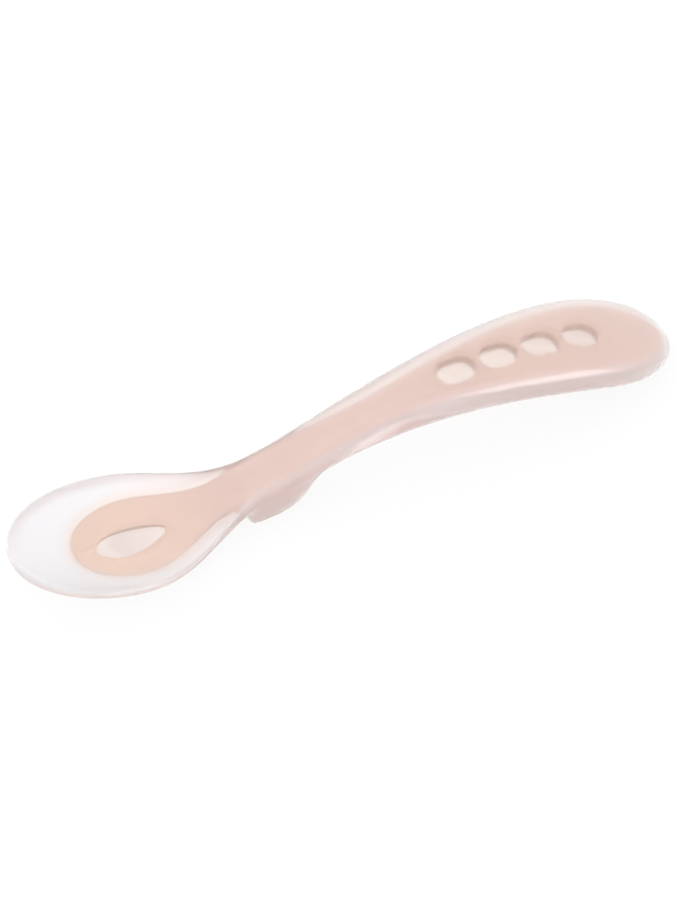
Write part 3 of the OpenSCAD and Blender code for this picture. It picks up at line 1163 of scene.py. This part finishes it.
@dataclass(frozen=True)
class Softbox:
    """A soft lamp: direction in degrees, distance and size in metres, and brightness."""

    name: str
    azimuth: float
    elevation: float
    away: float
    size: Pair
    radiance: float
    unseen: tuple[str, ...]
    aim: Sequence[float] = (0.02, 0.0, 0.015)

    def build(self) -> None:
        """Hangs the lamp, pointed at the spoon and hidden from the rays in unseen."""
        data = bpy.data.lights.new(self.name, "AREA")
        data.shape = "RECTANGLE"
        data.size, data.size_y = self.size
        data.energy = self.radiance * math.pi * self.size[0] * self.size[1]
        lamp = linked(self.name, data)
        back = Studio.direction(self.azimuth, self.elevation)
        lamp.location = Vector(self.aim) + back * self.away
        lamp.rotation_mode = "QUATERNION"
        lamp.rotation_quaternion = back.to_track_quat("Z", "Y")
        for rays in self.unseen:
            setattr(lamp, "visible_" + rays, False)


STRIP = Softbox(
    name="strip_softbox",
    azimuth=35.0,
    elevation=32.0,
    away=0.6,
    size=(0.42, 0.19),
    radiance=3.8,
    unseen=("diffuse", "transmission"),
)
TOP = Softbox(
    name="top_softbox",
    azimuth=-120.0,
    elevation=70.0,
    away=1.1,
    size=(2.0, 2.0),
    radiance=0.75,
    unseen=("glossy",),
)


@dataclass
class Studio:
    """Floor, soft lamps and the camera at the photograph's angle."""

    azimuth: float = -27.27
    elevation: float = 50.0
    distance: float = 0.75
    focal_length: float = 152.67
    sensor_width: float = 36.0
    clip_start: float = 0.01
    target: Sequence[float] = (0.0, 0.0, 0.011)
    framing: Pair = (-0.00222, -0.00317)
    ambient: float = 0.86
    floor_radius: float = 3.0
    floor_corners: int = 96
    floor_gap: float = 0.00002
    lamps: tuple[Softbox, ...] = (STRIP, TOP)

    @staticmethod
    def seen(nodes: Nodes) -> Socket:
        """1 for rays from the camera, also through glass or by a reflection."""
        rays = nodes.add("ShaderNodeLightPath", {})
        total = rays.outputs["Is Camera Ray"]
        for name in ("Is Glossy Ray", "Is Transmission Ray"):
            links = {0: total, 1: rays.outputs[name]}
            total = nodes.out("ShaderNodeMath", links, operation="MAXIMUM")
        return total

    @staticmethod
    def direction(azimuth: float, elevation: float) -> Vector:
        """Unit vector at degrees round the spoon, from its front to its right, and upwards."""
        a, e = math.radians(azimuth), math.radians(elevation)
        return Vector((math.sin(a) * math.cos(e), -math.cos(a) * math.cos(e), math.sin(e)))

    def camera(self) -> None:
        """Sets up the camera."""
        data = bpy.data.cameras.new("camera")
        data.lens = self.focal_length
        data.sensor_width = self.sensor_width
        data.clip_start = self.clip_start
        camera = linked("camera", data)
        back = self.direction(self.azimuth, self.elevation)
        turn = back.to_track_quat("Z", "Y")
        right, up = turn @ Vector((1.0, 0.0, 0.0)), turn @ Vector((0.0, 1.0, 0.0))
        aside = right * self.framing[0] + up * self.framing[1]
        camera.location = Vector(self.target) + back * self.distance + aside
        camera.rotation_mode = "QUATERNION"
        camera.rotation_quaternion = turn
        bpy.context.scene.camera = camera

    def world(self) -> None:
        """Sets up the even light of the room, which shows white."""
        world = bpy.data.worlds.new("studio")
        bpy.context.scene.world = world
        world.use_nodes = True
        nodes = Nodes(world.node_tree)
        base = world.node_tree.nodes["Background"]
        strength = nodes.out("ShaderNodeMix", {0: self.seen(nodes), 2: self.ambient, 3: 1.0})
        base.inputs["Color"].default_value = (1.0, 1.0, 1.0, 1.0)
        nodes.feed(base.inputs["Strength"], strength)

    def floor(self, finish: FloorFinish) -> None:
        """Lays the floor just under the spoon.

        Args:
            finish: The floor's finish.
        """
        corners = range(self.floor_corners)
        turns = [math.tau * i / self.floor_corners for i in corners]
        radius, low = self.floor_radius, -self.floor_gap
        points = [(radius * math.cos(turn), radius * math.sin(turn), low) for turn in turns]
        mesh = bpy.data.meshes.new("floor")
        mesh.from_pydata(points, [], [list(corners)])
        mesh.materials.append(finish.material())
        floor = linked("floor", mesh)

    def build(self) -> None:
        """Sets up the whole studio."""
        bpy.context.scene.view_settings.view_transform = "Standard"
        self.camera()
        self.world()
        self.floor(FloorFinish())
        for lamp in self.lamps:
            lamp.build()


@dataclass
class BabySpoon:
    """The whole spoon: a core inside a skin."""

    body: BodySizes = field(default_factory=BodySizes)

    def build(self) -> None:
        """Makes both pieces and hides the imported parts that they stand for."""
        skin = SiliconeSkin(self.body)
        core = InnerCore(self.body)
        insert = core.mesh(core.finish.material())
        hull = skin.mesh(insert)
        low = min(vertex.co.x for vertex in hull.vertices)
        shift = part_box(Node.SKIN.value)[0].x - low * MM
        Piece.make("core_moulding", insert, shift, Node.CORE, Slot.CORE)
        Piece.make("silicone_moulding", hull, shift, Node.SKIN, Slot.SILICONE)


def main() -> None:
    """Builds the spoon in its studio."""
    logging.basicConfig(level=logging.INFO, format="%(name)s: %(message)s")
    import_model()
    BabySpoon().build()
    Studio().build()


if __name__ == "__main__":
    main()
